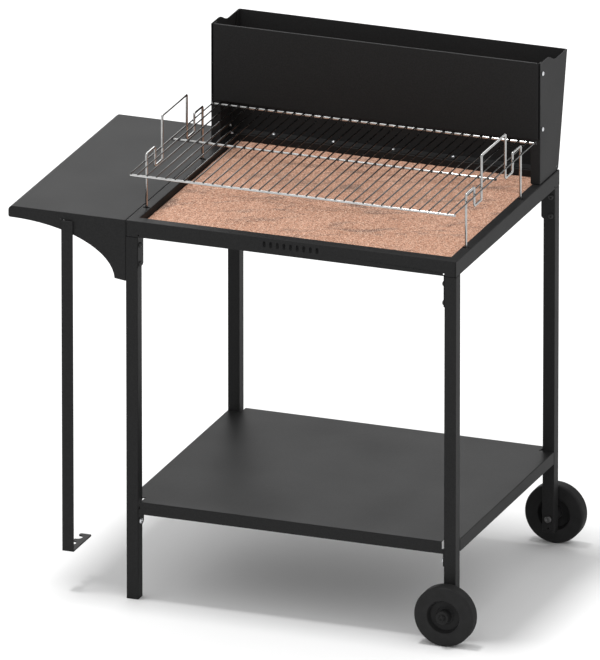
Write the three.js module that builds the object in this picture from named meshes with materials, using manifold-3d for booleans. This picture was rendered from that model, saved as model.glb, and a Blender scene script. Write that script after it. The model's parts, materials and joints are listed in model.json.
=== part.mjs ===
// Charcoal barbecue trolley: firebox on four tube legs, grate, wind guard, side table, shelf, two wheels.
// Millimetres, +Z up, +X to the right, +Y to the rear. The origin is on the floor, under the middle of
// the whole object's box.
import * as THREE from "three";
import { mergeVertices } from "three/addons/utils/BufferGeometryUtils.js";
import Module from "manifold-3d";

const wasm = await Module();
wasm.setup();

// ---- driving dimensions ----
const WIDTH = 700; // firebox, along X
const DEPTH = 592; // firebox, along Y
const RIM_Z = 800; // top of the firebox rim
const SHEET = 1.5; // folded sheet thickness
const GAP = 0.3; // between pieces that touch
const HALF = WIDTH / 2;

const APRON = 33; // height of the firebox's outer wall
const RIM_SIDE = 21; // rim width on the left and right
const RIM_END = 26; // rim width at the front and rear
const RECESS = 13; // rim top to slab top
const TUBE = 25; // leg section
const WHEEL_LEG_Z = 34; // underside of the two right legs

const TAB_WIDTH = 29; // bolting tabs on the legs
const TAB_BOTTOM_Z = 701.5;
const TAB_TOP_Z = 785;
const TAB_BOLT_Z = [749, 709];
const TAB_BOLT_IN = 8; // from the legs' outer faces
const TAB_HOLE_R = 1.6; // relief hole over each tab's fold
const CORNER_SEAM = 1.2; // groove at each corner of the apron
const SEAM_WEB = 0.4; // sheet left under the groove
const LEG_SEAM = 1; // apron to leg

const SHELF_Z = 208; // shelf top
const SHELF_LIP = 26;
const SHELF_TAB_BOTTOM_Z = 155;
const SHELF_TAB_TOP_Z = 192;
const SHELF_BOLT_Z = 166;

const TABLE = 250; // side table, along X
const TABLE_LIP = 23.5; // depth of its left edge
const TABLE_BEND = 9; // outer bend radius at its left edge
const PLATE_DROP = 128; // end plate depth beside the leg
const PLATE_FLAT = 24; // width of its lower end
const PLATE_BOLT_IN = 14; // from the front leg's outer face

const GUARD_LEFT = 354; // firebox middle to its left panel's outer face
const GUARD_RIGHT = 347.3; // the same on the right
const GUARD_Y = 486; // front face of the wind guard
const GUARD_TOP = 256; // its front edge above the rim
const GUARD_REAR_TOP = 238;
const GUARD_OPENING = 95; // rim to the front panel's lower edge
const GUARD_LEAN = 50; // rear panel, top behind bottom
const GUARD_FLANGE = 20;
const GUARD_SEAM = 2.4; // front panel to side panels

const GRATE_Y = 241.5; // middle cross wire
const GRATE_HALF_Y = 230.5; // middle to outer cross wire
const GRATE_Z = RIM_Z + 92.5; // axis of the cross wires
const CROSS_R = 2.5;
const ROD_R = 1.5;
const INNER_RODS = 34;
const INNER_ROD_SPAN = 656;
const FRAME_X = 338.5; // plane of the grate's side frames
const FOOT_Y = 155.5; // feet, from the middle cross wire
const FOOT_BELOW = 11; // foot ends below the rim top

const RAKE_X = -473.4; // middle of the bar
const RAKE_WIDTH = 24;
const RAKE_THICK = 3;
const RAKE_FOOT_Z = 85; // underside of the foot
const RAKE_HOOK_Z = 784; // top of the bar
const RAKE_FRONT_Y = -5;

const WHEEL_R = 62.5;
const WHEEL_WIDE = 30;
const WHEEL_OUT = 22; // leg face to wheel mid-plane
const HUB_HALF = WHEEL_OUT - GAP; // half the hub's length
const AXLE_R = 5;
const AXLE_END = 50; // leg face to the bolt's end

// ---- places that follow from them ----
const APRON_Z = RIM_Z - APRON;
const LEG_OUT = 0; // leg faces are flush with the apron's faces
const LEG_IN = LEG_OUT + TUBE;
const LEG_TOP_Z = APRON_Z - LEG_SEAM;
const WALL_X = HALF - RIM_SIDE; // inner faces of the firebox walls
const WALL_Y = RIM_END;
const SLAB_TOP_Z = RIM_Z - RECESS;
const AXLE_X = HALF - LEG_OUT - TUBE / 2;
const SHELL_X = HALF - LEG_OUT; // shelf edges line up with the legs' outer faces
const REAR_SLOPE = GUARD_LEAN / GUARD_REAR_TOP;

// ---- helpers ----
const paint = new THREE.MeshStandardMaterial({ color: 0x1c1c1d, roughness: 0.45, metalness: 0.1 });
const chrome = new THREE.MeshStandardMaterial({ color: 0xd8d8d8, roughness: 0.2, metalness: 1 });
const zinc = new THREE.MeshStandardMaterial({ color: 0xc4c6c8, roughness: 0.35, metalness: 1 });
const brick = new THREE.MeshStandardMaterial({ color: 0xc8977c, roughness: 0.95, metalness: 0 });
const plastic = new THREE.MeshStandardMaterial({ color: 0x1f1f20, roughness: 0.6, metalness: 0 });

const grill = new THREE.Group();

function add(name, geometry, material) {
  const mesh = new THREE.Mesh(geometry, material);
  mesh.name = name;
  grill.add(mesh);
}

// Corners are snapped to a fine grid, so faces that are meant to be flush are exactly flush.
const GRID = 1024; // steps in a millimetre

function solid(geometry) {
  const bare = geometry.index ? geometry.toNonIndexed() : geometry.clone();
  bare.deleteAttribute("normal");
  bare.deleteAttribute("uv");
  bare.attributes.position.array.forEach((value, i, all) => {
    all[i] = Math.round(value * GRID) / GRID;
  });
  const merged = mergeVertices(bare, 1e-4);
  const triVerts = new Uint32Array(merged.index.array);
  const vertProperties = new Float32Array(merged.attributes.position.array);
  return new wasm.Manifold(new wasm.Mesh({ numProp: 3, vertProperties, triVerts }));
}

function surface(manifold) {
  const mesh = manifold.getMesh();
  const geometry = new THREE.BufferGeometry();
  geometry.setAttribute("position", new THREE.BufferAttribute(mesh.vertProperties, 3));
  geometry.setIndex(new THREE.BufferAttribute(mesh.triVerts, 1));
  return geometry;
}

const join = (...pieces) => surface(pieces.map(solid).reduce((all, piece) => all.add(piece)));
const cut = (base, ...tools) =>
  surface(tools.map(solid).reduce((left, tool) => left.subtract(tool), solid(base)));

// A box from its lowest and highest corners.
function box(low, high) {
  const [x, y, z] = high.map((value, i) => value - low[i]);
  const centre = high.map((value, i) => (value + low[i]) / 2);
  return new THREE.BoxGeometry(x, y, z).translate(...centre);
}

// A round bar from start along one axis.
function bar(radius, start, axis, length, sides = 16) {
  const geometry = new THREE.CylinderGeometry(radius, radius, length, sides).translate(0, length / 2, 0);
  return turn(geometry, axis).translate(...start);
}

// Turns a shape made along +Y so that it points along axis.
function turn(geometry, axis) {
  const q = new THREE.Quaternion().setFromUnitVectors(
    new THREE.Vector3(0, 1, 0), new THREE.Vector3(...axis));
  return geometry.applyQuaternion(q);
}

// An outline in the XZ plane, from Y = y to y + thick.
function plateXZ(outline, y, thick = SHEET) {
  const geometry = new THREE.ExtrudeGeometry(outline, { depth: thick, bevelEnabled: false, curveSegments: 8 });
  return geometry.rotateX(Math.PI / 2).translate(0, y + thick, 0);
}

// An outline in the YZ plane, from X = x to x + thick.
function plateYZ(outline, x, thick = SHEET) {
  const geometry = new THREE.ExtrudeGeometry(outline, { depth: thick, bevelEnabled: false, curveSegments: 8 });
  const axes = new THREE.Matrix4().makeBasis(
    new THREE.Vector3(0, 1, 0), new THREE.Vector3(0, 0, 1), new THREE.Vector3(1, 0, 0));
  return geometry.applyMatrix4(axes).translate(x, 0, 0);
}

const polygon = (...points) => new THREE.Shape(points.map(([u, v]) => new THREE.Vector2(u, v)));

// A screw with a domed head: its seat is at `seat`, its shank points along `axis`.
function screw(headR, headHigh, shankR, shankLong, seat, axis) {
  const profile = [
    [0, -headHigh], [headR * 0.7, -headHigh * 0.9], [headR, -headHigh * 0.5], [headR, 0],
    [shankR, 0], [shankR, shankLong], [0, shankLong],
  ].map(([r, y]) => new THREE.Vector2(r, y));
  return turn(new THREE.LatheGeometry(profile, 10), axis).translate(...seat);
}

// A wire's axis: straight runs between corners, each corner rounded over `bend`.
class WirePath extends THREE.Curve {
  constructor(corners, bend, cornerSteps = 3) {
    super();
    const points = corners.map((corner) => new THREE.Vector3(...corner));
    this.stations = [points[0]];
    for (let i = 1; i < points.length - 1; i++) {
      const before = points[i].clone().add(points[i - 1].clone().sub(points[i]).setLength(bend));
      const after = points[i].clone().add(points[i + 1].clone().sub(points[i]).setLength(bend));
      const arc = new THREE.QuadraticBezierCurve3(before, points[i], after);
      this.stations.push(...arc.getPoints(cornerSteps));
    }
    this.stations.push(points.at(-1));
    this.last = this.stations.length - 1;
  }

  getPoint(t, target = new THREE.Vector3()) {
    return target.copy(this.stations[Math.round(t * this.last)]);
  }

  getPointAt(t, target) {
    return this.getPoint(t, target);
  }

  getTangentAt(t, target = new THREE.Vector3()) {
    const i = Math.round(t * this.last);
    const before = this.stations[Math.max(i - 1, 0)];
    const after = this.stations[Math.min(i + 1, this.last)];
    const here = this.stations[i];
    const back = here.clone().sub(before).normalize();
    const ahead = after.clone().sub(here).normalize();
    return target.copy(back).add(ahead).normalize();
  }
}

function wire(radius, corners, bend) {
  const path = new WirePath(corners, bend);
  const section = new THREE.Shape().absarc(0, 0, radius, 0, 2 * Math.PI);
  return new THREE.ExtrudeGeometry(section, { steps: path.last, extrudePath: path, curveSegments: 8 });
}

// ---- firebox pan ----
// The four corners as [name, X side, is it at the rear].
const CORNERS = [
  ["front_left", -1, false], ["front_right", 1, false], ["rear_left", -1, true], ["rear_right", 1, true],
];
const atEnd = (inward, rear) => (rear ? DEPTH - inward : inward);
const span = (a, b) => [Math.min(a, b), Math.max(a, b)];

// A tab lies on the leg's inner side: facing X on the front legs, facing Y on the rear legs.
function legTab(side, rear) {
  const inside = APRON_Z - GAP;
  const chamfer = 4;
  const hidden = 18; // how far it reaches back inside the hollow rim
  const outline = polygon([0, TAB_TOP_Z], [hidden, TAB_TOP_Z], [hidden, inside], [TAB_WIDTH, inside],
    [TAB_WIDTH, TAB_BOTTOM_Z + chamfer], [TAB_WIDTH - chamfer, TAB_BOTTOM_Z], [0, TAB_BOTTOM_Z]);
  if (!rear) {
    const x = HALF - LEG_IN - GAP - SHEET;
    return plateYZ(outline, side > 0 ? x : -x - SHEET);
  }
  const flat = plateXZ(outline, DEPTH - LEG_IN - GAP - SHEET);
  return side > 0
    ? surface(solid(flat).mirror([1, 0, 0])).translate(HALF, 0, 0)
    : flat.translate(-HALF, 0, 0);
}

// The round relief hole over a tab's fold. It leaves the tab joined to the pan behind it.
function tabRelief(side, rear) {
  const x = HALF - LEG_IN - GAP - SHEET;
  const z = APRON_Z + 4;
  return rear
    ? bar(TAB_HOLE_R, [side * (HALF + 1), DEPTH - (HALF - x), z], [-side, 0, 0], 10, 12)
    : bar(TAB_HOLE_R, [side * x, -1, z], [0, 1, 0], 10, 12);
}

// The slits that part the apron's front and rear walls from its side walls.
function cornerSeams() {
  const outer = HALF - SHEET;
  return CORNERS.map(([, side, rear]) => {
    const [x0, x1] = span(side * outer, side * (outer - CORNER_SEAM));
    const [y0, y1] = span(atEnd(-1, rear), atEnd(SHEET - SEAM_WEB, rear));
    return box([x0, y0, APRON_Z - 1], [x1, y1, RIM_Z - 4]);
  });
}

function tabBoltSeat(side, rear, z) {
  const out = LEG_IN + GAP + SHEET + GAP;
  return rear
    ? { seat: [side * (HALF - TAB_BOLT_IN), DEPTH - out, z], axis: [0, 1, 0] }
    : { seat: [side * (HALF - out), TAB_BOLT_IN, z], axis: [side, 0, 0] };
}

const drill = (radius, { seat, axis }, reach = 12) =>
  bar(radius, seat.map((value, i) => value - axis[i] * reach / 2), axis, reach);

function ventSlots() {
  const slots = [];
  const pitch = 14;
  const width = 6;
  const tall = 13;
  const middle = RIM_Z - 14;
  for (let i = -4; i <= 4; i++) {
    const x = i * pitch;
    slots.push(box([x - width / 2, -1, middle - tall / 2 + width / 2],
      [x + width / 2, SHEET + 1, middle + tall / 2 - width / 2]));
    for (const end of [-1, 1]) {
      slots.push(bar(width / 2, [x, -1, middle + end * (tall - width) / 2], [0, 1, 0], SHEET + 2, 12));
    }
  }
  return slots;
}

function footSlots() {
  const halfX = 6.5;
  const halfY = 3.6;
  return [-1, 1].flatMap((side) => [-1, 1].map((end) => {
    const x = side * FRAME_X;
    const y = GRATE_Y + end * FOOT_Y;
    return box([x - halfX, y - halfY, RIM_Z - SHEET - 1], [x + halfX, y + halfY, RIM_Z + 1]);
  }));
}

const legBolts = CORNERS.flatMap(([name, side, rear]) => TAB_BOLT_Z.map((z, i) =>
  ({ name: `leg_bolt_${name}_${i + 1}`, ...tabBoltSeat(side, rear, z) })));

// Screws that hold the wind guard down on the rim.
const guardDownSeats = [
  ...[-2, -1, 0, 1, 2].map((i) => ({ name: `guard_screw_rear_${i + 3}`, x: i * 128, y: DEPTH - 12 })),
  { name: "guard_screw_left_foot", x: 12.2 - HALF, y: DEPTH - 34 },
  { name: "guard_screw_right_foot", x: HALF - 12.2, y: DEPTH - 34 },
].map(({ name, x, y }) =>
  ({ name, seat: [x, y, RIM_Z + GAP + SHEET + GAP], axis: [0, 0, -1] }));

const TABLE_BOLT_Z = RIM_Z - 18;
const tableTopBolts = [150, 450].map((y, i) =>
  ({ name: `table_bolt_top_${i + 1}`, seat: [-HALF - GAP - SHEET - GAP, y, TABLE_BOLT_Z], axis: [1, 0, 0] }));

function fireboxPan() {
  const shell = box([-HALF, 0, APRON_Z], [HALF, DEPTH, RIM_Z]);
  const underRim = cut(
    box([-HALF + SHEET, SHEET, APRON_Z - 1], [HALF - SHEET, DEPTH - SHEET, RIM_Z - SHEET]),
    box([-WALL_X - SHEET, WALL_Y - SHEET, APRON_Z - 2], [WALL_X + SHEET, DEPTH - WALL_Y + SHEET, RIM_Z]));
  const bed = box([-WALL_X, WALL_Y, APRON_Z + SHEET], [WALL_X, DEPTH - WALL_Y, RIM_Z + 1]);
  const tabs = CORNERS.map(([, side, rear]) => legTab(side, rear));
  return cut(join(cut(shell, underRim, bed), ...tabs),
    ...CORNERS.map(([, side, rear]) => tabRelief(side, rear)),
    ...cornerSeams(),
    ...ventSlots(),
    ...footSlots(),
    ...legBolts.map((bolt) => drill(3.4, bolt, 8)),
    ...guardDownSeats.map((place) => drill(2.4, place, 8)),
    ...tableTopBolts.map((bolt) => drill(3.4, bolt, 10)));
}
add("firebox_pan", fireboxPan(), paint);
add("firebrick_slab", box([-WALL_X + 1.5, WALL_Y + 1.5, APRON_Z + SHEET + GAP],
  [WALL_X - 1.5, DEPTH - WALL_Y - 1.5, SLAB_TOP_Z]), brick);

// ---- legs and end caps ----
const shelfBolts = CORNERS.map(([name, side, rear]) => ({
  name: `shelf_bolt_${name}`,
  seat: [side * (HALF - LEG_IN - GAP - SHEET - GAP), atEnd(TAB_BOLT_IN, rear), SHELF_BOLT_Z],
  axis: [side, 0, 0],
}));
const PLATE_BOLT_Z = RIM_Z - PLATE_DROP + 22;
const tableLegBolt = {
  name: "table_bolt_leg", seat: [-HALF - GAP - SHEET - GAP, PLATE_BOLT_IN, PLATE_BOLT_Z], axis: [1, 0, 0],
};
const CAP_HIGH = 3;

function leg(side, rear) {
  const [x0, x1] = span(side * (HALF - LEG_OUT), side * (HALF - LEG_IN));
  const [y0, y1] = span(atEnd(LEG_OUT, rear), atEnd(LEG_IN, rear));
  const foot = side > 0 ? WHEEL_LEG_Z : 0;
  const z0 = foot + CAP_HIGH + GAP;
  const tools = [
    box([x0 + SHEET, y0 + SHEET, z0 - 1], [x1 - SHEET, y1 - SHEET, LEG_TOP_Z + 1]),
    ...TAB_BOLT_Z.map((z) => drill(3.4, tabBoltSeat(side, rear, z), 16)),
    ...shelfBolts.filter(({ seat }) => seat[0] * side > 0 && (seat[1] > DEPTH / 2) === rear)
      .map((bolt) => drill(3.4, bolt, 16)),
  ];
  if (side > 0) {
    const ventY = rear ? y0 - 1 : y1 - SHEET - 1;
    tools.push(bar(AXLE_R + 0.2, [AXLE_X, y0 - 1, WHEEL_R], [0, 1, 0], TUBE + 2, 24));
    tools.push(bar(1.8, [AXLE_X, ventY, WHEEL_R - 20], [0, 1, 0], SHEET + 2, 10));
  }
  if (side < 0 && !rear) tools.push(drill(3.4, tableLegBolt, 16));
  return cut(box([x0, y0, z0], [x1, y1, LEG_TOP_Z]), ...tools);
}

function endCap(side, rear) {
  const [x0, x1] = span(side * (HALF - LEG_OUT), side * (HALF - LEG_IN));
  const [y0, y1] = span(atEnd(LEG_OUT, rear), atEnd(LEG_IN, rear));
  const foot = side > 0 ? WHEEL_LEG_Z : 0;
  const inset = SHEET + GAP;
  const plug = side > 0 ? 3 : 12; // the right plugs stop below the vent hole
  return join(box([x0, y0, foot], [x1, y1, foot + CAP_HIGH]),
    box([x0 + inset, y0 + inset, foot + 1], [x1 - inset, y1 - inset, foot + CAP_HIGH + plug]));
}

for (const [name, side, rear] of CORNERS) {
  add(`leg_${name}`, leg(side, rear), paint);
  add(`cap_${name}`, endCap(side, rear), plastic);
}

// ---- lower shelf ----
function shelfTab(side, rear) {
  const chamfer = 6;
  const flip = (inward) => atEnd(inward, rear);
  const outline = polygon(
    [flip(LEG_OUT), SHELF_TAB_TOP_Z], [flip(TAB_WIDTH), SHELF_TAB_TOP_Z],
    [flip(TAB_WIDTH), SHELF_TAB_BOTTOM_Z + chamfer], [flip(TAB_WIDTH - chamfer), SHELF_TAB_BOTTOM_Z],
    [flip(LEG_OUT), SHELF_TAB_BOTTOM_Z]);
  const x = HALF - LEG_IN - GAP - SHEET;
  return plateYZ(outline, side > 0 ? x : -x - SHEET);
}

function lowerShelf() {
  const bottom = SHELF_Z - SHELF_LIP;
  const tray = cut(
    box([-SHELL_X, LEG_OUT, bottom], [SHELL_X, DEPTH - LEG_OUT, SHELF_Z]),
    box([-SHELL_X + SHEET, LEG_OUT + SHEET, bottom - 1],
      [SHELL_X - SHEET, DEPTH - LEG_OUT - SHEET, SHELF_Z - SHEET]));
  const clearX = 4.5;
  const clearY = 1.8;
  const notches = CORNERS.flatMap(([, side, rear]) => {
    const [y0, y1] = span(atEnd(-1, rear), atEnd(LEG_IN + clearY, rear));
    const upper = span(side * (HALF + 1), side * (HALF - LEG_IN - clearX));
    const lower = span(side * (HALF + 1), side * (HALF - LEG_IN - GAP));
    const corner = [side * (HALF - LEG_IN - clearX), atEnd(LEG_IN + clearY, rear), SHELF_Z - 4];
    return [
      box([upper[0], y0, SHELF_TAB_TOP_Z], [upper[1], y1, SHELF_Z + 1]),
      box([lower[0], y0, bottom - 1], [lower[1], y1, SHELF_Z + 1]),
      bar(1.8, corner, [0, 0, 1], 8, 12),
    ];
  });
  const tabs = CORNERS.map(([, side, rear]) => shelfTab(side, rear));
  return cut(join(cut(tray, ...notches), ...tabs), ...shelfBolts.map((bolt) => drill(3.4, bolt, 8)));
}
add("lower_shelf", lowerShelf(), paint);

// ---- side table ----
const TABLE_LEFT = -HALF - TABLE;
const TABLE_RIGHT = -HALF - GAP;
const PLATE_BOTTOM_Z = RIM_Z - PLATE_DROP;

function tableTop() {
  const lip = RIM_Z - 30;
  const section = new THREE.Shape()
    .moveTo(TABLE_LEFT, RIM_Z - TABLE_LIP)
    .lineTo(TABLE_LEFT + SHEET, RIM_Z - TABLE_LIP)
    .lineTo(TABLE_LEFT + SHEET, RIM_Z - TABLE_BEND)
    .absarc(TABLE_LEFT + TABLE_BEND, RIM_Z - TABLE_BEND, TABLE_BEND - SHEET, Math.PI, Math.PI / 2, true)
    .lineTo(TABLE_RIGHT - SHEET, RIM_Z - SHEET)
    .lineTo(TABLE_RIGHT - SHEET, lip)
    .lineTo(TABLE_RIGHT, lip)
    .lineTo(TABLE_RIGHT, RIM_Z)
    .lineTo(TABLE_LEFT + TABLE_BEND, RIM_Z)
    .absarc(TABLE_LEFT + TABLE_BEND, RIM_Z - TABLE_BEND, TABLE_BEND, Math.PI / 2, Math.PI, false);
  const inset = SHEET + GAP;
  return cut(plateXZ(section, inset, DEPTH - 2 * inset), ...tableTopBolts.map((bolt) => drill(3.4, bolt, 8)));
}

// The end plate's lower edge is a quarter of an ellipse.
function tablePlate(y) {
  const foot = 4;
  const outline = new THREE.Shape()
    .moveTo(TABLE_RIGHT, PLATE_BOTTOM_Z)
    .lineTo(TABLE_RIGHT, RIM_Z)
    .lineTo(TABLE_LEFT + TABLE_BEND, RIM_Z)
    .absarc(TABLE_LEFT + TABLE_BEND, RIM_Z - TABLE_BEND, TABLE_BEND, Math.PI / 2, Math.PI, false)
    .lineTo(TABLE_LEFT, RIM_Z - TABLE_LIP + foot)
    .absarc(TABLE_LEFT + foot, RIM_Z - TABLE_LIP + foot, foot, Math.PI, 1.5 * Math.PI, false)
    .absellipse(TABLE_LEFT + foot, PLATE_BOTTOM_Z, TABLE - foot - PLATE_FLAT,
      PLATE_DROP - TABLE_LIP, Math.PI / 2, 0.03, true);
  return plateXZ(outline, y);
}

const RIVET_R = 2.4;
const rivet = {
  name: "table_rivet",
  seat: [RAKE_X - RAKE_WIDTH / 2 - RIVET_R - GAP, -GAP, RAKE_HOOK_Z + 1],
  axis: [0, 1, 0],
};

function tablePlateFront() {
  const tongue = RAKE_WIDTH / 2 - 2;
  const slot = box([RAKE_X - tongue, -1, RAKE_HOOK_Z - RAKE_THICK - 1.5],
    [RAKE_X + tongue, SHEET + 1, RAKE_HOOK_Z + 1.5]);
  const flange = box([TABLE_RIGHT - SHEET, 0, PLATE_BOTTOM_Z], [TABLE_RIGHT, TAB_WIDTH, RIM_Z - 34]);
  return cut(join(tablePlate(0), flange), slot, drill(3.4, tableLegBolt, 8), drill(1.4, rivet, 8));
}

const rearFlange = box([TABLE_RIGHT - SHEET, DEPTH - TAB_WIDTH, PLATE_BOTTOM_Z],
  [TABLE_RIGHT, DEPTH, RIM_Z - 34]);
add("table_top", tableTop(), paint);
add("table_plate_front", tablePlateFront(), paint);
add("table_plate_rear", join(tablePlate(DEPTH - SHEET), rearFlange), paint);

// ---- wind guard ----
const GUARD_FOOT_Z = RIM_Z + GAP;
const GUARD_SPLIT_Z = RIM_Z + GUARD_OPENING;
const GUARD_TOP_Z = RIM_Z + GUARD_TOP;
const GUARD_REAR_Z = RIM_Z + GUARD_REAR_TOP;
const REAR_IN = DEPTH - SHEET; // rear panel's inner face at the rim
const guardReach = (side) => (side < 0 ? GUARD_LEFT : GUARD_RIGHT);
const sideScrewPlaces = [-1, 1].flatMap((side) => {
  const x = side * (guardReach(side) + GAP);
  const word = side < 0 ? "left" : "right";
  return [
    { name: `guard_screw_${word}_upper`, seat: [x, GUARD_Y + 12, GUARD_TOP_Z - 24], axis: [-side, 0, 0] },
    { name: `guard_screw_${word}_lower`, seat: [x, GUARD_Y + 12, RIM_Z + 115], axis: [-side, 0, 0] },
  ];
});
const joinScrewPlaces = [-1, 1].map((side) => ({
  name: `guard_screw_${side < 0 ? "left" : "right"}_join`,
  seat: [side * (guardReach(side) - 2 * SHEET - 2 * GAP), DEPTH - 9, RIM_Z + 9],
  axis: [side, 0, 0],
}));

// Side panel: web, front flange below the front panel, and foot flange on the rim.
function guardSide(side) {
  const web = new THREE.Shape()
    .moveTo(GUARD_Y, GUARD_FOOT_Z)
    .lineTo(GUARD_Y, GUARD_TOP_Z)
    .lineTo(GUARD_Y + 38, GUARD_TOP_Z)
    .bezierCurveTo(GUARD_Y + 62, GUARD_TOP_Z, GUARD_Y + 72, GUARD_REAR_Z, GUARD_Y + 98, GUARD_REAR_Z)
    .lineTo(DEPTH + GUARD_LEAN, GUARD_REAR_Z)
    .lineTo(DEPTH, GUARD_FOOT_Z);
  const outer = side * guardReach(side);
  const sheet = side > 0 ? outer - SHEET : outer;
  const front = span(outer, outer - side * GUARD_FLANGE);
  const foot = span(outer, outer - side * (GUARD_FLANGE - 1));
  return cut(join(plateYZ(web, sheet),
    box([front[0], GUARD_Y, GUARD_FOOT_Z], [front[1], GUARD_Y + SHEET, GUARD_SPLIT_Z - GAP]),
    box([foot[0], GUARD_Y, GUARD_FOOT_Z], [foot[1], DEPTH - 2 * GUARD_FLANGE + 14, GUARD_FOOT_Z + SHEET])),
  ...sideScrewPlaces.map((place) => drill(2.4, place, 10)),
  ...joinScrewPlaces.map((place) => drill(1.9, place, 10)),
  ...guardDownSeats.map((place) => drill(2.4, place, 6)));
}

// Front panel: face with a return folded back along each side panel, and a turned top edge.
function guardFront() {
  const inside = SHEET + GUARD_SEAM;
  const left = inside - GUARD_LEFT;
  const right = GUARD_RIGHT - inside;
  const returns = [-1, 1].map((side) => {
    const edge = side < 0 ? left : right;
    const [x0, x1] = span(edge, edge - side * SHEET);
    return box([x0, GUARD_Y, GUARD_SPLIT_Z], [x1, GUARD_Y + GUARD_FLANGE, GUARD_TOP_Z - 1]);
  });
  return cut(join(
    box([left, GUARD_Y, GUARD_SPLIT_Z], [right, GUARD_Y + SHEET, GUARD_TOP_Z]),
    box([left + 4, GUARD_Y, GUARD_TOP_Z - SHEET], [right - 4, GUARD_Y + 2 * SHEET + 1, GUARD_TOP_Z]),
    ...returns), ...sideScrewPlaces.map((place) => drill(2.4, place, 12)));
}

// Rear panel: leaning face, side returns folded forward, and foot flange on the rim.
function guardRear() {
  const inside = SHEET + GAP;
  const left = inside - GUARD_LEFT;
  const right = GUARD_RIGHT - inside;
  const lean = (z) => DEPTH + (z - GUARD_FOOT_Z) * REAR_SLOPE;
  const profile = (inward) => polygon(
    [lean(GUARD_FOOT_Z) - inward, GUARD_FOOT_Z], [lean(GUARD_FOOT_Z), GUARD_FOOT_Z],
    [lean(GUARD_REAR_Z), GUARD_REAR_Z], [lean(GUARD_REAR_Z) - inward, GUARD_REAR_Z]);
  const face = plateYZ(profile(SHEET), left, right - left);
  const returns = [left, right - SHEET].map((x) => plateYZ(profile(18), x));
  const foot = box([left, REAR_IN - 22, GUARD_FOOT_Z], [right, REAR_IN + 1, GUARD_FOOT_Z + SHEET]);
  return cut(join(face, ...returns, foot),
    ...guardDownSeats.map((place) => drill(2.4, place, 6)),
    ...joinScrewPlaces.map((place) => drill(1.9, place, 10)));
}
add("guard_front", guardFront(), paint);
add("guard_left", guardSide(-1), paint);
add("guard_right", guardSide(1), paint);
add("guard_rear", guardRear(), paint);

// ---- cooking grate ----
const ROD_Z = GRATE_Z + CROSS_R + ROD_R - 0.4; // each rod is welded a little into the cross wires
const OUTER_ROD_X = FRAME_X + CROSS_R + GAP + ROD_R;

function grateGrid() {
  const past = 2.5; // rods run past the outer cross wires
  const rodLong = 2 * (GRATE_HALF_Y + past);
  const inner = Array.from({ length: INNER_RODS }, (_, i) =>
    -INNER_ROD_SPAN / 2 + i * INNER_ROD_SPAN / (INNER_RODS - 1));
  const rods = [-OUTER_ROD_X, ...inner, OUTER_ROD_X].map((x) =>
    bar(ROD_R, [x, GRATE_Y - rodLong / 2, ROD_Z], [0, 1, 0], rodLong, 6));
  const cross = [-1, 0, 1].map((i) =>
    bar(CROSS_R, [-OUTER_ROD_X - ROD_R, GRATE_Y + i * GRATE_HALF_Y, GRATE_Z], [1, 0, 0],
      2 * (OUTER_ROD_X + ROD_R), 8));
  return join(...cross, ...rods);
}

// Half of a side frame from its foot to the top of the handle, as [distance from the middle, height].
const FRAME_HALF = [
  [FOOT_Y, -FOOT_BELOW], [FOOT_Y, 112], [109, 112], [109, 72], [68, 72], [68, 165],
];

function grateFrame(side) {
  const point = (sign) => ([out, up]) => [side * FRAME_X, GRATE_Y + sign * out, RIM_Z + up];
  return wire(CROSS_R, [...FRAME_HALF.map(point(-1)), ...FRAME_HALF.toReversed().map(point(1))], 6);
}
add("grate_grid", grateGrid(), chrome);
add("grate_frame_left", grateFrame(-1), chrome);
add("grate_frame_right", grateFrame(1), chrome);

// ---- ember rake ----
// Bar, foot with two rounded notches on its left side, and a hook through the table's front plate.
function emberRake() {
  const half = RAKE_WIDTH / 2;
  const back = RAKE_FRONT_Y + RAKE_THICK;
  const bladeTop = RAKE_FOOT_Z + RAKE_THICK;
  const tongue = half - 3;
  const hookBack = 9;
  const bladeEnd = 96;
  const notchDeep = 13;
  const notchHalf = 11;
  const notch = (y) => [
    bar(notchHalf, [RAKE_X - half + notchDeep - notchHalf, y, RAKE_FOOT_Z - 1], [0, 0, 1], RAKE_THICK + 2, 20),
    box([RAKE_X - half - 1, y - notchHalf, RAKE_FOOT_Z - 1],
      [RAKE_X - half + notchDeep - notchHalf, y + notchHalf, bladeTop + 1]),
  ];
  return cut(join(
    box([RAKE_X - half, RAKE_FRONT_Y, RAKE_FOOT_Z], [RAKE_X + half, back, RAKE_HOOK_Z]),
    box([RAKE_X - half, RAKE_FRONT_Y, RAKE_FOOT_Z], [RAKE_X + half, bladeEnd, bladeTop]),
    box([RAKE_X - tongue, RAKE_FRONT_Y, RAKE_HOOK_Z - RAKE_THICK], [RAKE_X + tongue, hookBack, RAKE_HOOK_Z]),
    box([RAKE_X - tongue, hookBack - RAKE_THICK, RAKE_HOOK_Z - 8], [RAKE_X + tongue, hookBack, RAKE_HOOK_Z])),
  ...notch(39), ...notch(74));
}
add("ember_rake", emberRake(), paint);

// ---- wheels ----
// Profile as [radius, distance from the mid-plane]; the two sides are alike.
function wheelProfile() {
  const face = WHEEL_WIDE / 2;
  const half = [
    [AXLE_R + 0.1, HUB_HALF], [12.8, HUB_HALF], [13.5, face - 13], [17.5, face - 13], [18, face - 12],
    [30, face - 12], [33.5, face - 1], [34.5, face], [56.5, face], [60.5, face - 2.2], [WHEEL_R, face - 6],
  ];
  const outer = half.map(([r, y]) => new THREE.Vector2(r, y)).reverse();
  const inner = half.map(([r, y]) => new THREE.Vector2(r, -y));
  return [...outer, ...inner, outer[0].clone()];
}

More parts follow.
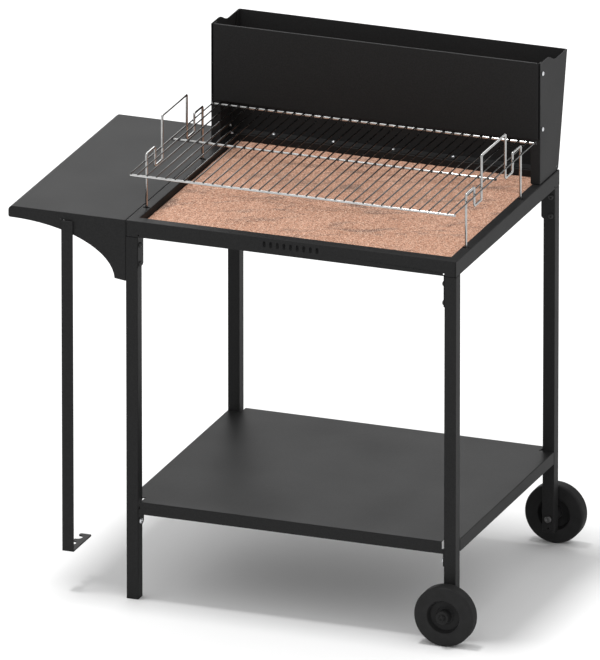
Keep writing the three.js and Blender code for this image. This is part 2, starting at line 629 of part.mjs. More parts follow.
// Side is -1 for the front wheel and 1 for the rear one.
function axleParts(word, end) {
  const face = end < 0 ? LEG_OUT : DEPTH - LEG_OUT;
  const along = (distance) => face + end * distance; // outwards from the leg's face
  const at = (distance) => [AXLE_X, along(distance), WHEEL_R];
  const out = [0, end, 0];
  const middle = WHEEL_OUT;
  const profile = wheelProfile();
  add(`wheel_${word}`, turn(new THREE.LatheGeometry(profile, 36), out).translate(...at(middle)), plastic);
  const headSeat = -TUBE - GAP;
  const shank = AXLE_END - headSeat;
  add(`axle_bolt_${word}`, screw(7.5, 4, AXLE_R, shank, at(headSeat), out), zinc);
  const bore = AXLE_R + 0.15;
  const nutLong = 4;
  add(`axle_nut_${word}`,
    cut(bar(7.5, at(middle + HUB_HALF + GAP), out, nutLong, 6), bar(bore, at(middle), out, 40, 24)), zinc);
}
axleParts("front", -1);
axleParts("rear", 1);

// ---- bolts and screws ----
for (const { name, seat, axis } of legBolts) add(name, screw(5.5, 4, 3, 9, seat, axis), paint);
for (const { name, seat, axis } of shelfBolts) add(name, screw(6, 3.6, 3, 9, seat, axis), zinc);
for (const { name, seat, axis } of sideScrewPlaces) add(name, screw(4.5, 2.6, 2, 7, seat, axis), zinc);
for (const { name, seat, axis } of joinScrewPlaces) add(name, screw(3.6, 2.2, 1.6, 3, seat, axis), zinc);
for (const { name, seat, axis } of guardDownSeats) add(name, screw(4.5, 2.6, 2, 8, seat, axis), zinc);
for (const { name, seat, axis } of [...tableTopBolts, tableLegBolt]) {
  add(name, screw(6, 3.6, 3, 9, seat, axis), zinc);
}
add(rivet.name, screw(RIVET_R, 1.3, 1.1, 3, rivet.seat, rivet.axis), paint);

// ---- placing on the floor, under the middle of the whole box ----
const leftMost = -HALF - TABLE;
const rightMost = AXLE_X + WHEEL_R;
const frontMost = LEG_OUT - AXLE_END;
const rearMost = DEPTH + GUARD_LEAN;
grill.position.set(-(leftMost + rightMost) / 2, -(frontMost + rearMost) / 2, 0);

export default grill;
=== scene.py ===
"""Charcoal barbecue trolley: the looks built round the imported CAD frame, in metres, +Z up."""

import json
import math

import bmesh
import bpy
from mathutils import Matrix, Vector, noise
from mathutils.bvhtree import BVHTree

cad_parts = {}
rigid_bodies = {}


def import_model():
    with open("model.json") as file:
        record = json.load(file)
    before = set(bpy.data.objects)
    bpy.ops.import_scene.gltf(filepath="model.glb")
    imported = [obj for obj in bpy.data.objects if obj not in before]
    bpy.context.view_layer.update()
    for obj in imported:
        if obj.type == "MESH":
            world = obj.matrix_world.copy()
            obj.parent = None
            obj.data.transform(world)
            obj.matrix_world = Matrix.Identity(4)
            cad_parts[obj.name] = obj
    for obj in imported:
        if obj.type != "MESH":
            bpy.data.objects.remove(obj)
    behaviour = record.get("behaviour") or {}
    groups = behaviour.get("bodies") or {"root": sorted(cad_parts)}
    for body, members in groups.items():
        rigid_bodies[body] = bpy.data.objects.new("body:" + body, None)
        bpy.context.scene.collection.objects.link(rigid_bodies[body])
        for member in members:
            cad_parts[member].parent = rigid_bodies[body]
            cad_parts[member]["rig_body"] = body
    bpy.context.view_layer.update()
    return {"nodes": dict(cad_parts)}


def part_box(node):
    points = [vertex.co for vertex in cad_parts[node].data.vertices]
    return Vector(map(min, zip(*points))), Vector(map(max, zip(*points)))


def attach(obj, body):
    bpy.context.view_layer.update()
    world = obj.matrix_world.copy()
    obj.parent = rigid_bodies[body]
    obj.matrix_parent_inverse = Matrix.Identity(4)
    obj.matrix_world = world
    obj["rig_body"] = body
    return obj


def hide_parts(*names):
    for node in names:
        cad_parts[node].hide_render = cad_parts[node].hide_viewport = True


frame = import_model()
NODES = frame["nodes"]
BODY_OF = {name: node["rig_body"] for name, node in NODES.items()}
MM = 0.001

# Sizes in millimetres that several parts share.
DEPTH, RIM_Z = 592, 800
TUBE_SIDE = 25
GAP = 0.3

# The trolley's own axes: X = 0 in the middle of the firebox, Y = 0 at its front face,
# Z = 0 on the floor.
pan_low, pan_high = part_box("firebox_pan")
ORIGIN = Vector(((pan_low.x + pan_high.x) / 2, pan_low.y, 0))


def at(x, y, z):
    """A point given in millimetres on the trolley's own axes."""
    return ORIGIN + Vector((x, y, z)) * MM


# ---------------------------------------------------------------- materials


class Paint:
    """A Principled material with short calls for its nodes."""

    def __init__(self, name, colour, roughness, metallic=0.0, **sockets):
        self.material = bpy.data.materials.new(name)
        self.material.use_nodes = True
        self.tree = self.material.node_tree
        self.shader = self.tree.nodes["Principled BSDF"]
        self.put("Base Color", (*colour, 1))
        self.put("Roughness", roughness)
        self.put("Metallic", metallic)
        for socket, value in sockets.items():
            self.put(socket, value)
        self.where = self.tree.nodes.new("ShaderNodeTexCoord").outputs["Object"]

    def put(self, socket, value):
        self.shader.inputs[socket].default_value = value

    def link(self, output, node, socket):
        self.tree.links.new(output, node.inputs[socket])

    def noise(self, scale, detail=4.0, roughness=0.55, stretch=None, distortion=0.0, turn=0.0):
        """Noise on the object's own coordinates. `stretch` draws it out, `turn` degrees round Z."""
        node = self.tree.nodes.new("ShaderNodeTexNoise")
        node.inputs["Scale"].default_value = scale
        node.inputs["Detail"].default_value = detail
        node.inputs["Roughness"].default_value = roughness
        node.inputs["Distortion"].default_value = distortion
        where = self.where
        if stretch:
            mapping = self.tree.nodes.new("ShaderNodeMapping")
            mapping.vector_type = "TEXTURE"
            mapping.inputs["Scale"].default_value = stretch
            mapping.inputs["Rotation"].default_value = (0, 0, math.radians(turn))
            self.link(where, mapping, "Vector")
            where = mapping.outputs["Vector"]
        self.link(where, node, "Vector")
        return node.outputs["Fac"]

    def span(self, value, low, high, to_low, to_high):
        """Maps low..high onto to_low..to_high, held at both ends."""
        node = self.tree.nodes.new("ShaderNodeMapRange")
        numbers = {"From Min": low, "From Max": high, "To Min": to_low, "To Max": to_high}
        for socket, number in numbers.items():
            node.inputs[socket].default_value = number
        self.link(value, node, "Value")
        return node.outputs["Result"]

    def ramp(self, value, *stops):
        node = self.tree.nodes.new("ShaderNodeValToRGB")
        elements = node.color_ramp.elements
        while len(elements) < len(stops):
            elements.new(0.5)
        for element, (place, colour) in zip(elements, stops):
            element.position = place
            element.color = (*colour, 1)
        self.link(value, node, "Fac")
        return node.outputs["Color"]

    def mix(self, factor, first, second):
        """Two colours, each a plain one or another node's, into the Mix node's sockets 6 and 7."""
        node = self.tree.nodes.new("ShaderNodeMix")
        node.data_type = "RGBA"
        self.link(factor, node, 0)
        for index, colour in ((6, first), (7, second)):
            if isinstance(colour, tuple):
                node.inputs[index].default_value = (*colour, 1)
            else:
                self.link(colour, node, index)
        return node.outputs[2]

    def bump(self, height, strength, distance, under=None):
        node = self.tree.nodes.new("ShaderNodeBump")
        node.inputs["Strength"].default_value = strength
        node.inputs["Distance"].default_value = distance
        self.link(height, node, "Height")
        if under is not None:
            self.link(under, node, "Normal")
        return node.outputs["Normal"]

    def colour(self, value):
        self.link(value, self.shader, "Base Color")

    def rough(self, value):
        self.link(value, self.shader, "Roughness")

    def normal(self, value):
        self.link(value, self.shader, "Normal")


def powder_coat(name, dark, light, gloss):
    """Satin black powder coat: faint orange peel, fine grain and a slow drift of gloss."""
    paint = Paint(name, dark, gloss, IOR=1.15)
    drift = paint.noise(7, 3)
    paint.colour(paint.mix(paint.span(paint.noise(420, 2), 0.35, 0.65, 0, 1), dark, light))
    paint.rough(paint.span(drift, 0.3, 0.7, gloss - 0.02, gloss + 0.02))
    peel = paint.bump(paint.noise(650, 2), 0.10, 0.0004)
    paint.normal(paint.bump(paint.noise(2600, 2), 0.10, 0.0001, peel))
    return paint.material


def moulded_plastic(name, dark, light, gloss, ior=1.25):
    """Black plastic with a faint drift of tone and gloss and a fine moulded grain."""
    paint = Paint(name, dark, gloss, IOR=ior)
    paint.colour(paint.mix(paint.span(paint.noise(60, 4), 0.35, 0.65, 0, 1), dark, light))
    paint.rough(paint.span(paint.noise(25, 3), 0.3, 0.7, gloss - 0.06, gloss + 0.05))
    paint.normal(paint.bump(paint.noise(1500, 3), 0.18, 0.0002))
    return paint.material


def plated(name, colour, gloss, grain):
    """Bare or plated metal, a little darker in patches."""
    paint = Paint(name, colour, gloss, metallic=1.0)
    shade = tuple(c * 0.82 for c in colour)
    paint.colour(paint.mix(paint.span(paint.noise(90, 4), 0.4, 0.7, 0, 1), colour, shade))
    paint.rough(paint.span(paint.noise(160, 3), 0.3, 0.7, gloss - 0.05, gloss + 0.07))
    paint.normal(paint.bump(paint.noise(grain, 2), 0.06, 0.0001))
    return paint.material


def refractory(name):
    """Coarse firebrick: pink-tan grit with pale grains, dark pits and soft grey-brown streaks."""
    paint = Paint(name, (0.5, 0.28, 0.19), 0.92, IOR=1.3)
    clouds = paint.noise(9, 4, 0.6, distortion=0.4)
    base = paint.ramp(clouds, (0.30, (0.47, 0.245, 0.160)), (0.50, (0.53, 0.28, 0.187)),
                      (0.68, (0.58, 0.315, 0.215)))
    streaks = paint.noise(19, 6, 0.66, stretch=(2.4, 0.8, 1), distortion=1.1, turn=26)
    stained = paint.mix(paint.span(streaks, 0.53, 0.66, 0, 0.85), base, (0.17, 0.115, 0.095))
    grit = paint.noise(330, 2, 0.7)
    pitted = paint.mix(paint.span(grit, 0.36, 0.49, 0.85, 0), stained, (0.15, 0.07, 0.045))
    grains = paint.span(paint.noise(420, 2, 0.7), 0.52, 0.64, 0, 0.85)
    paint.colour(paint.mix(grains, pitted, (0.95, 0.66, 0.50)))
    paint.rough(paint.span(grit, 0.3, 0.7, 0.85, 0.97))
    coarse = paint.bump(streaks, 0.3, 0.003)
    paint.normal(paint.bump(grit, 0.9, 0.002, coarse))
    return paint.material


SHEET = powder_coat("sheet_coat", (0.0165, 0.0165, 0.0167), (0.0215, 0.0215, 0.0217), 0.5)
TUBE = powder_coat("tube_coat", (0.0160, 0.0160, 0.0162), (0.0210, 0.0210, 0.0212), 0.5)
BOLT = powder_coat("black_bolt", (0.035, 0.035, 0.035), (0.045, 0.045, 0.045), 0.42)
NUT = powder_coat("blackened_nut", (0.016, 0.016, 0.016), (0.022, 0.022, 0.022), 0.42)
RIVET = powder_coat("rivet", (0.030, 0.030, 0.030), (0.038, 0.038, 0.038), 0.75)
ZINC = plated("zinc", (0.66, 0.67, 0.69), 0.30, 1800)
AXLE = plated("axle_zinc", (0.12, 0.12, 0.12), 0.5, 1500)
CHROME = plated("chrome_wire", (0.42, 0.42, 0.415), 0.2, 900)
# Painted highlight: the cross wires are the same chrome as the frame wires, given a brighter copy
# that paints in the overhead light's highlight.
CROSS_WIRE_PAINTED_HIGHLIGHT = plated("chrome_cross_wire_painted_highlight", (0.56, 0.56, 0.555), 0.2, 900)
# Painted shade: a near-black copy of the chrome for the collars where the rods sit on the cross
# wires.
CROSSING_SHADE = plated("chrome_crossing_painted_shade", (0.05, 0.05, 0.05), 0.5, 900)
# Painted reflection: the rods are the same chrome, given a much darker copy that paints in the dark
# guard they reflect over the firebrick.
ROD_PAINTED_DARK = plated("chrome_rod_painted_dark_reflection", (0.085, 0.085, 0.084), 0.22, 900)
BRICK = refractory("firebrick")
WHEEL = moulded_plastic("wheel_plastic", (0.0165, 0.0165, 0.0166), (0.02, 0.02, 0.0202), 0.4, 1.18)
TREAD = moulded_plastic("wheel_tread", (0.016, 0.016, 0.016), (0.021, 0.021, 0.021), 0.6, 1.12)
CAP = moulded_plastic("cap_plastic", (0.010, 0.010, 0.010), (0.015, 0.015, 0.015), 0.55)


# ---------------------------------------------------------------- mesh helpers


def piece(name, mesh, material, body, replaced=()):
    """A visual piece with its material and slot, riding a body in place of CAD nodes."""
    obj = bpy.data.objects.new(name, mesh)
    bpy.context.scene.collection.objects.link(obj)
    mesh.materials.clear()
    mesh.materials.append(material)
    if body:
        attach(obj, body)
    if replaced:
        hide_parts(*replaced)
    return obj


def two_tone(obj, material, chosen):
    """A second material on the polygons whose middle is chosen."""
    obj.data.materials.append(material)
    for polygon in obj.data.polygons:
        if chosen(polygon.center):
            polygon.material_index = 1


def smooth(mesh):
    for polygon in mesh.polygons:
        polygon.use_smooth = True


def finished(bm, name):
    """The mesh of a closed shape, with its faces outwards and smooth."""
    bmesh.ops.recalc_face_normals(bm, faces=bm.faces)
    mesh = bpy.data.meshes.new(name)
    bm.to_mesh(mesh)
    bm.free()
    smooth(mesh)
    return mesh


def apply_modifiers(obj):
    depsgraph = bpy.context.evaluated_depsgraph_get()
    mesh = bpy.data.meshes.new_from_object(obj.evaluated_get(depsgraph), depsgraph=depsgraph,
                                           preserve_all_data_layers=True)
    obj.modifiers.clear()
    obj.data = mesh


MERGE = 1e-5  # metres between points that are one
PROBE = 2e-4  # metres above a face, where a probe for it starts
FLAT_TURN = math.radians(1)  # faces that meet at less than this are one
EDGE_TURN = math.radians(38)  # edges sharper than this are folds or cut edges
CORNER_TURN = math.radians(60)  # a blade's outline turns more than this at its corners
BLADE_THICK, BLADE_TOP = 4, 200  # mm; a level blade is thinner, and lies lower


def reaches(tree, middle, inward, normal, far):
    """Is the face beside an edge still there, that far in from the edge?"""
    hit = tree.ray_cast(middle + inward * far + normal * PROBE, -normal, 2 * PROBE)
    return hit[0] is not None


def blade_corner(edge):
    """Is this one of the short upright edges at the corners of a level blade's outline?"""
    long = edge.calc_length()
    return (long < BLADE_THICK * MM and edge.calc_face_angle_signed() > CORNER_TURN
            and abs((edge.verts[0].co - edge.verts[1].co).z) > long * 0.95
            and min(vert.co.z for vert in edge.verts) < BLADE_TOP * MM)


def folded(node, outer, cut, material, inner=0.5, wide=2.4, corners=0.0, reshape=None):
    """A sheet or tube part with its folds rounded, to `outer` mm outside and `inner` mm inside, and
    its cut edges eased by `cut` mm. A face narrower than `wide` mm is a cut face, not one side of a
    fold. `corners` rounds the outline of a level blade, and `reshape` moves points beforehand."""
    bm = bmesh.new()
    bm.from_mesh(NODES[node].data)
    bmesh.ops.remove_doubles(bm, verts=bm.verts, dist=MERGE)
    if reshape:
        for vert in bm.verts:
            reshape(vert.co)
    bmesh.ops.dissolve_limit(bm, angle_limit=FLAT_TURN, verts=bm.verts, edges=bm.edges)
    bmesh.ops.connect_verts_concave(bm, faces=bm.faces)
    if corners:
        upright = [edge for edge in bm.edges if blade_corner(edge)]
        bmesh.ops.bevel(bm, geom=upright, offset=corners * MM, segments=4, profile=0.5,
                        affect="EDGES")
    bm.normal_update()
    tree = BVHTree.FromBMesh(bm)
    weight = bm.edges.layers.float.new("bevel_weight_edge")
    for edge in bm.edges:
        if len(edge.link_faces) != 2:
            continue
        angle = edge.calc_face_angle_signed()
        if abs(angle) < EDGE_TURN:
            continue
        middle = (edge.verts[0].co + edge.verts[1].co) / 2
        along = (edge.verts[1].co - edge.verts[0].co).normalized()
        sides = []
        for face in edge.link_faces:
            inward = face.normal.cross(along)
            loop = next(corner for corner in edge.link_loops if corner.face is face)
            if loop.vert is not edge.verts[0]:
                inward.negate()
            sides.append(reaches(tree, middle, inward, face.normal, wide * MM))
        if all(sides):
            edge[weight] = (outer if angle > 0 else inner) / outer
        else:
            edge[weight] = cut / outer
    mesh = bpy.data.meshes.new(f"{node}_folded")
    bm.to_mesh(mesh)
    bm.free()
    smooth(mesh)
    obj = piece(f"{node}_folded", mesh, material, None)
    bevel = obj.modifiers.new("folds", "BEVEL")
    bevel.limit_method = "WEIGHT"
    bevel.offset_type = "OFFSET"
    bevel.width = outer * MM
    bevel.segments = 3
    bevel.use_clamp_overlap = False
    bevel.miter_outer = "MITER_SHARP"
    normals = obj.modifiers.new("normals", "WEIGHTED_NORMAL")
    normals.keep_sharp = True
    normals.weight = 60
    apply_modifiers(obj)
    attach(obj, BODY_OF[node])
    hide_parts(node)


# ---------------------------------------------------------------- sheet and tube parts

for name in NODES:
    if name.startswith("leg_") and "bolt" not in name:
        folded(name, 1.3, 0.45, TUBE)
for name in ("firebox_pan", "lower_shelf", "table_top", "table_plate_rear",
             "guard_front", "guard_left", "guard_right", "guard_rear"):
    folded(name, 1.9, 0.3, SHEET)

rake_low, rake_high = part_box("ember_rake")
RAKE_HALF, RAKE_THICK = (rake_high.x - rake_low.x) / 2, 3 * MM
HOOK = Vector(((rake_low.x + rake_high.x) / 2, 0, rake_high.z - RAKE_THICK / 2))
# The slot for the hook: how far each end is in from the rake's sides, and half its height.
SLOT_IN, SLOT_HALF = 2 * MM, 3 * MM
SNUG_IN, SNUG_HALF = 2.85 * MM, 2.2 * MM
NEAR = 0.2 * MM  # a point this near the slot's outline is on it


def snug(point):
    """Draws the rake's slot in round the hook, so that no light shows past it."""
    aside, above = point.x - HOOK.x, point.z - HOOK.z
    if abs(aside) < RAKE_HALF - SLOT_IN + NEAR and abs(above) < SLOT_HALF + NEAR:
        point.x = HOOK.x + math.copysign(RAKE_HALF - SNUG_IN, aside)
        point.z = HOOK.z + math.copysign(SNUG_HALF, above)


folded("table_plate_front", 1.9, 0.3, SHEET, reshape=snug)
for name in NODES:
    if name.startswith("cap_"):
        folded(name, 0.8, 0.3, CAP)

# ---------------------------------------------------------------- turned and swept shapes


def across(axis):
    """Two directions at right angles to an axis and to each other."""
    first = Vector((0, 0, 1)) if abs(axis.z) < 0.9 else Vector((1, 0, 0))
    first = (first - axis * first.dot(axis)).normalized()
    return first, axis.cross(first)


def ring(bm, centre, radius, u, v, sides):
    """Corners round a centre. `radius` is a number or a function of the angle."""
    corners = []
    for i in range(sides):
        turn = 2 * math.pi * i / sides
        reach = radius(turn) if callable(radius) else radius
        corners.append(bm.verts.new(centre + (u * math.cos(turn) + v * math.sin(turn)) * reach))
    return corners


def skin(bm, rings, closed=False):
    """Faces between each ring and the next, and from the last to the first if closed."""
    pairs = zip(rings, rings[1:] + rings[:1]) if closed else zip(rings, rings[1:])
    for low, high in pairs:
        for i in range(len(low)):
            j = (i + 1) % len(low)
            bm.faces.new((low[i], low[j], high[j], high[i]))


END_CAP = 0.6  # how far a wire's rounded end stands out, against its radius


def sweep(bm, points, radius, sides):
    """A round wire along points in metres, with rounded ends."""
    ahead = [(b - a).normalized() for a, b in zip(points, points[1:])]
    runs = [ahead[0]] + [(a + b).normalized() for a, b in zip(ahead, ahead[1:])] + [ahead[-1]]
    u, _ = across(runs[0])
    rings = []
    for step, (point, run) in enumerate(zip(points, runs)):
        u = (u - run * u.dot(run)).normalized()
        v = run.cross(u)
        ends = []
        if step == 0:
            ends = [(-1, t) for t in (80, 50, 20)]
        if step == len(points) - 1:
            ends = [(1, t) for t in (20, 50, 80)]
        core = ring(bm, point, radius, u, v, sides)
        extra = [ring(bm, point + run * sign * radius * END_CAP * math.sin(math.radians(t)),
                      radius * math.cos(math.radians(t)), u, v, sides) for sign, t in ends]
        rings += extra + [core] if step == 0 else [core] + extra
    skin(bm, rings)
    bm.faces.new(list(reversed(rings[0])))
    bm.faces.new(rings[-1])


def rounded(corners, bend, steps=6):
    """A path through corners, in metres, with each right angle turned along an arc."""
    path = [corners[0]]
    for before, corner, after in zip(corners, corners[1:], corners[2:]):
        inward, outward = (corner - before).normalized(), (after - corner).normalized()
        for i in range(steps + 1):
            turn = math.pi / 2 * i / steps
            before_corner, past_corner = bend * (1 - math.sin(turn)), bend * (1 - math.cos(turn))
            path.append(corner - inward * before_corner + outward * past_corner)
    path.append(corners[-1])
    return path


def lathe(bm, profile, seat, axis, sides, closed=False):
    """Turns [radius, distance along the axis] pairs in millimetres round an axis."""
    u, v = across(axis)
    rings = []
    for radius, along in profile:
        reach = (lambda turn, r=radius: r(turn) * MM) if callable(radius) else radius * MM
        rings.append(ring(bm, seat + axis * along * MM, reach, u, v, sides))
    skin(bm, rings, closed)
    if not closed:
        bm.faces.new(list(reversed(rings[0])))
        bm.faces.new(rings[-1])


def eased(profile, radius, steps=3):
    """A closed profile with every corner rounded."""
    smoothed = []
    for i, corner in enumerate(profile):
        here = Vector(corner)
        before = Vector(profile[i - 1]) - here
        after = Vector(profile[(i + 1) % len(profile)]) - here
        reach = min(radius, before.length * 0.45, after.length * 0.45)
        start, end = here + before.normalized() * reach, here + after.normalized() * reach
        for k in range(steps + 1):
            t = k / steps
            smoothed.append(tuple(start * (1 - t) ** 2 + here * 2 * t * (1 - t) + end * t * t))
    return smoothed


# ---------------------------------------------------------------- cooking grate

CROSS_R, ROD_R = 2.5, 1.5
GRATE_Y, GRATE_HALF = 241.5, 230.5  # its middle, and from there to the outer cross wires
CROSS_Z = 892.5
ROD_Z = CROSS_Z + CROSS_R + ROD_R - 0.4  # the rods are sunk 0.4 mm into the cross wires
FRAME_X = 338.5
OUTER_ROD_X = FRAME_X + CROSS_R + GAP + ROD_R
ROD_SPAN, ROD_PITCHES = 328, 33
INNER_RODS = [-ROD_SPAN + i * 2 * ROD_SPAN / ROD_PITCHES for i in range(ROD_PITCHES + 1)]
RODS = [-OUTER_ROD_X, *INNER_RODS, OUTER_ROD_X]
COLLAR_HALF, COLLAR_RISE = 1.3, 0.12  # the dark collar at each crossing, which paints in the shade where a rod sits: its half length along the cross wire, and its rise above it
FRAME_BEND = 4

# Half of a side frame, from its foot to the middle of its tall handle: out from the grate's middle
# and up from the rim.
HALF_FRAME = [(155.5, -11), (155.5, 112), (109, 112), (109, 72), (68, 72), (68, 165)]


def stations(half, inset=0.0):
    """Five places along a straight wire, from end to end."""
    return -half + inset, -half / 2, 0, half / 2, half - inset


def grate():
    rods, shade_collars, crosses = bmesh.new(), bmesh.new(), bmesh.new()
    for x in RODS:
        places = stations(GRATE_HALF + CROSS_R, END_CAP * ROD_R)
        sweep(rods, [at(x, GRATE_Y + y, ROD_Z) for y in places], ROD_R * MM, 12)
    for y in (-GRATE_HALF, 0, GRATE_HALF):
        places = stations(OUTER_ROD_X + ROD_R - 1)
        sweep(crosses, [at(x, GRATE_Y + y, CROSS_Z) for x in places], CROSS_R * MM, 16)
        # The rods end on the front cross wire, whose crossings keep its bright colour; on the other
        # two a dark collar under each rod paints in the shade where it sits.
        for x in RODS if y > -GRATE_HALF else ():
            ends = [at(x + aside, GRATE_Y + y, CROSS_Z) for aside in (-COLLAR_HALF, COLLAR_HALF)]
            sweep(shade_collars, ends, (CROSS_R + COLLAR_RISE) * MM, 14)
    for name, bm, material in (("grate_rods", rods, ROD_PAINTED_DARK), ("grate_painted_shade_collars", shade_collars, CROSSING_SHADE),
                               ("grate_cross_wires", crosses, CROSS_WIRE_PAINTED_HIGHLIGHT)):
        piece(name, finished(bm, name), material, "grate", ["grate_grid"])
    for side, word in ((-1, "left"), (1, "right")):
        x = side * FRAME_X
        corners = [at(x, GRATE_Y - out, RIM_Z + up) for out, up in HALF_FRAME]
        corners += [at(x, GRATE_Y + out, RIM_Z + up) for out, up in reversed(HALF_FRAME)]
        for foot in (corners[0], corners[-1]):
            foot.z += END_CAP * CROSS_R * MM
        bm = bmesh.new()
        sweep(bm, rounded(corners, FRAME_BEND * MM), CROSS_R * MM, 20)
        name = f"grate_frame_{word}_wire"
        piece(name, finished(bm, name), CHROME, "grate", [f"grate_frame_{word}"])


grate()

# ---------------------------------------------------------------- firebrick

GRID_STEP = 4.5 * MM
WORN = 2.5 * MM  # how far in from the edges the top is worn
TOP_SINK = 0.35  # mm; keeps the highest grit below the slab's true top


def firebrick():
    """The slab with a gritty, slightly uneven top and worn edges."""
    low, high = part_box("firebrick_slab")
    size = high - low
    across_x, across_y = round(size.x / GRID_STEP), round(size.y / GRID_STEP)
    bm = bmesh.new()
    grid = []
    for i in range(across_x + 1):
        row = []
        for j in range(across_y + 1):
            x, y = size.x * i / across_x, size.y * j / across_y
            spot = Vector((x, y, 0))
            grit, lumps, swell = (noise.noise(spot * scale) for scale in (260, 75, 14))
            rough = grit * 0.35 + lumps * 0.3 + swell * 0.3
            edge = min(x, y, size.x - x, size.y - y)
            drop = 1.2 * max(0.0, 1 - edge / WORN) * (1.2 + noise.noise(spot * 60))
            top = high.z + (rough - TOP_SINK - drop) * MM
            row.append(bm.verts.new((low.x + x, low.y + y, top)))
        grid.append(row)
    for a, b in zip(grid, grid[1:]):
        for j in range(across_y):
            bm.faces.new((a[j], b[j], b[j + 1], a[j + 1]))
    border = [row[0] for row in grid] + grid[-1][1:]
    border += [row[-1] for row in reversed(grid[:-1])] + grid[0][-2:0:-1]
    foot = [bm.verts.new((corner.co.x, corner.co.y, low.z)) for corner in border]
    for i in range(len(border)):
        j = (i + 1) % len(border)
        bm.faces.new((border[j], border[i], foot[i], foot[j]))
    bm.faces.new(foot)
    name = "firebrick_bed"
    piece(name, finished(bm, name), BRICK, "frame", ["firebrick_slab"])


firebrick()

# ---------------------------------------------------------------- wheels and axles

AXLE_X, AXLE_Z, AXLE_R = 337.5, 62.5, 5
WHEEL_OUT = 22.0  # from the leg's outer face to the wheel's middle
HUB_HALF = WHEEL_OUT - GAP
BORE_R, TREAD_R = 5.1, 62
PIN_END, PIN_BLACK = 50, 40  # from the leg's outer face; the pin is blackened beyond the second
NUT_LONG, NUT_EASE = 4, 0.7
HEAD_R = 7.5


def hexagon(flat, corner_ease=0.04):
    """Radius of a hexagon at an angle, from its half width across flats."""
    def radius(turn):
        within = (turn % (math.pi / 3)) - math.pi / 6
        return flat / math.cos(within) * (1 - corner_ease * (abs(within) / (math.pi / 6)) ** 6)
    return radius


def wheel(word, end):
    """A wheel with its bolt and nut, on the front leg (end -1) or the rear leg (end 1)."""
    face = 0 if end < 0 else DEPTH
    middle = at(AXLE_X, face + end * WHEEL_OUT, AXLE_Z)
    out = Vector((0, end, 0))
    # Radius and distance from the middle: hub, recessed web, rim and tyre.
    half = [(BORE_R, HUB_HALF), (12.8, HUB_HALF), (13.6, 2), (17.4, 1.8), (18, 3), (30.6, 3),
            (33.9, 14), (34.6, 15), (59.6, 15), (61.6, 13.6), (62.5, 11)]
    outline = [(radius, along) for radius, along in reversed(half)]
    outline += [(radius, -along) for radius, along in half]
    bm = bmesh.new()
    lathe(bm, eased(outline, 0.9), middle, out, 120, closed=True)
    name = f"wheel_{word}_moulding"
    moulding = piece(name, finished(bm, name), WHEEL, f"wheel_{word}",
                     [f"wheel_{word}"])
    two_tone(moulding, TREAD, lambda spot: (spot - middle).cross(out).length > TREAD_R * MM)

    leg = at(AXLE_X, face, AXLE_Z)
    seat = -(TUBE_SIDE + GAP)  # the head's underside, on the leg's far face
    bm = bmesh.new()
    lathe(bm, [(3.2, seat - 3.4), (3.2, seat - 4), (5.4, seat - 4), (6.6, seat - 3.5),
               (7.3, seat - 2.2), (HEAD_R, seat - 0.4), (7.3, seat), (AXLE_R, seat),
               (AXLE_R, PIN_BLACK), (AXLE_R, PIN_END - 1), (4.2, PIN_END), (3, PIN_END),
               (2.7, PIN_END - 1.4)], leg, out, 36)
    name = f"axle_bolt_{word}_pin"
    pin = piece(name, finished(bm, name), AXLE, "frame", [f"axle_bolt_{word}"])
    two_tone(pin, NUT, lambda spot: (spot - leg).dot(out) > PIN_BLACK * MM)

    start, far = WHEEL_OUT * 2, WHEEL_OUT * 2 + NUT_LONG
    flats = hexagon(6.5)
    bm = bmesh.new()
    lathe(bm, [(6.3, start), (flats, start + NUT_EASE), (flats, far - NUT_EASE), (6.3, far),
               (5.15, far), (5.15, start)], leg, out, 48, closed=True)
    name = f"axle_nut_{word}_hex"
    piece(name, finished(bm, name), NUT, "frame", [f"axle_nut_{word}"])


wheel("front", -1)
wheel("rear", 1)

# ---------------------------------------------------------------- bolts and screws


def shank_axis(name):
    """Which way a screw points, from where it sits."""
    if name.startswith("leg_bolt_rear"):
        return Vector((0, 1, 0))
    if name.startswith("table_bolt"):
        return Vector((1, 0, 0))
    if name.startswith("guard_screw_rear") or name.endswith("foot"):
        return Vector((0, 0, -1))
    side = -1 if "left" in name else 1
    if name.endswith(("upper", "lower")):
        side = -side
    return Vector((side, 0, 0))


def fastener(name, head, material):
    """A pan head, `head` mm tall, with a hexagonal recess, where the plain CAD screw is."""
    axis = shank_axis(name)
    low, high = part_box(name)
    middle, size = (low + high) / 2, (high - low) / MM
    long = abs(size.dot(axis))
    radius = max(size[i] for i in range(3) if abs(axis[i]) < 0.5) / 2
    top = middle - axis * long / 2 * MM
    recess = hexagon(radius * 0.36)
    shank = radius * 0.45
    dome = [(radius * 0.5, 0.02), (radius * 0.66, 0.0), (radius * 0.84, head * 0.14),
            (radius * 0.96, head * 0.42), (radius, head * 0.75), (radius * 0.98, head)]
    profile = [(recess, head * 0.6), (recess, 0.25), *dome, (shank, head), (shank, long - 0.6),
               (shank * 0.8, long)]
    bm = bmesh.new()
    lathe(bm, profile, top, axis, 36)
    piece(f"{name}_head", finished(bm, f"{name}_head"), material, "frame", [name])


for name in NODES:
    if name.startswith("leg_bolt"):
        fastener(name, 4.0, BOLT)
    elif name.startswith(("shelf_bolt", "table_bolt")):
        fastener(name, 3.6, ZINC)
    elif name.endswith("_join"):
        fastener(name, 2.2, ZINC)
    elif name.startswith("guard_screw"):
        fastener(name, 2.6, ZINC)


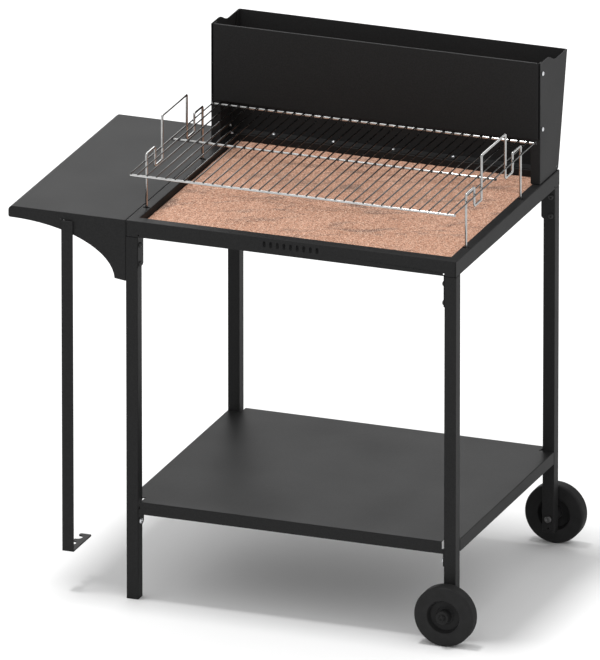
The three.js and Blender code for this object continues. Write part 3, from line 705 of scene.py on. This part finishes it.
def rivet():
    """The small domed rivet by the rake's slot."""
    low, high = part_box("table_rivet")
    top = Vector(((low.x + high.x) / 2, low.y, (low.z + high.z) / 2))
    dome = [(0.5, 0), (1.3, 0.15), (2.0, 0.55), (2.35, 1.1), (2.4, 1.3)]
    bm = bmesh.new()
    lathe(bm, [*dome, (1.1, 1.3), (1.1, 4.3)], top, Vector((0, 1, 0)), 28)
    name = "table_rivet_dome"
    piece(name, finished(bm, name), RIVET, "frame", ["table_rivet"])


rivet()

# ---------------------------------------------------------------- ember rake

folded("ember_rake", 1.8, 0.4, SHEET, wide=3.2, corners=3.5)

# ---------------------------------------------------------------- floor, light and camera


def softbox(name, width, length, place, target, radiance):
    """A plain rectangular light aimed at a target, in metres and in radiance. The camera doesn't
    see it."""
    light = bpy.data.lights.new(name, "AREA")
    light.shape = "RECTANGLE"
    light.size, light.size_y = width, length
    light.energy = radiance * math.pi * width * length
    lamp = bpy.data.objects.new(name, light)
    bpy.context.scene.collection.objects.link(lamp)
    lamp.location = place
    aim = (target - place).normalized()
    side = aim.cross(Vector((0, 1, 0))).normalized() if abs(aim.y) < 0.9 else Vector((1, 0, 0))
    lamp.rotation_euler = Matrix((side, aim.cross(side) * -1, -aim)).transposed().to_euler()
    lamp.visible_camera = False


def studio():
    """A pale floor under an even white sky, one far light overhead and one behind."""
    mesh = bpy.data.meshes.new("studio_floor")
    reach = 25
    corners = [(-reach, -reach, 0), (reach, -reach, 0), (reach, reach, 0), (-reach, reach, 0)]
    mesh.from_pydata(corners, [], [(0, 1, 2, 3)])
    floor = bpy.data.objects.new("studio_floor", mesh)
    bpy.context.scene.collection.objects.link(floor)
    paper = Paint("studio_paper", (0.82, 0.82, 0.82), 0.9, IOR=1.02)
    mesh.materials.append(paper.material)

    world = bpy.data.worlds.new("studio")
    world.use_nodes = True
    sky = world.node_tree.nodes["Background"]
    sky.inputs["Color"].default_value = (1, 1, 1, 1)
    sky.inputs["Strength"].default_value = 0.9
    bpy.context.scene.world = world

    middle = at(0, 300, 0)
    softbox("overhead", 4.0, 6.0, at(-4600, 300, 30000), middle, 68.0)
    softbox("rear", 14.0, 5.0, at(-4000, 13000, 5200), at(0, 300, 500), 2.0)


def photo_camera():
    """A very long lens, from the front right and above."""
    azimuth, elevation, distance = math.radians(20.744), math.radians(19.736), 48.0
    level = math.cos(elevation)
    back = Vector((math.sin(azimuth) * level, -math.cos(azimuth) * level, math.sin(elevation)))
    right = Vector((math.cos(azimuth), math.sin(azimuth), 0))
    up = back.cross(right)
    target = at(0, 300, 500) - right * 0.0874 + up * 0.0117
    data = bpy.data.cameras.new("photo_camera")
    data.sensor_width = 36
    data.lens = 1312.6
    data.clip_start, data.clip_end = 1, 400
    camera = bpy.data.objects.new("photo_camera", data)
    bpy.context.scene.collection.objects.link(camera)
    camera.location = target + back * distance
    camera.rotation_euler = back.to_track_quat("Z", "Y").to_euler()
    bpy.context.scene.camera = camera


studio()
photo_camera()
bpy.context.scene.view_settings.view_transform = "Standard"
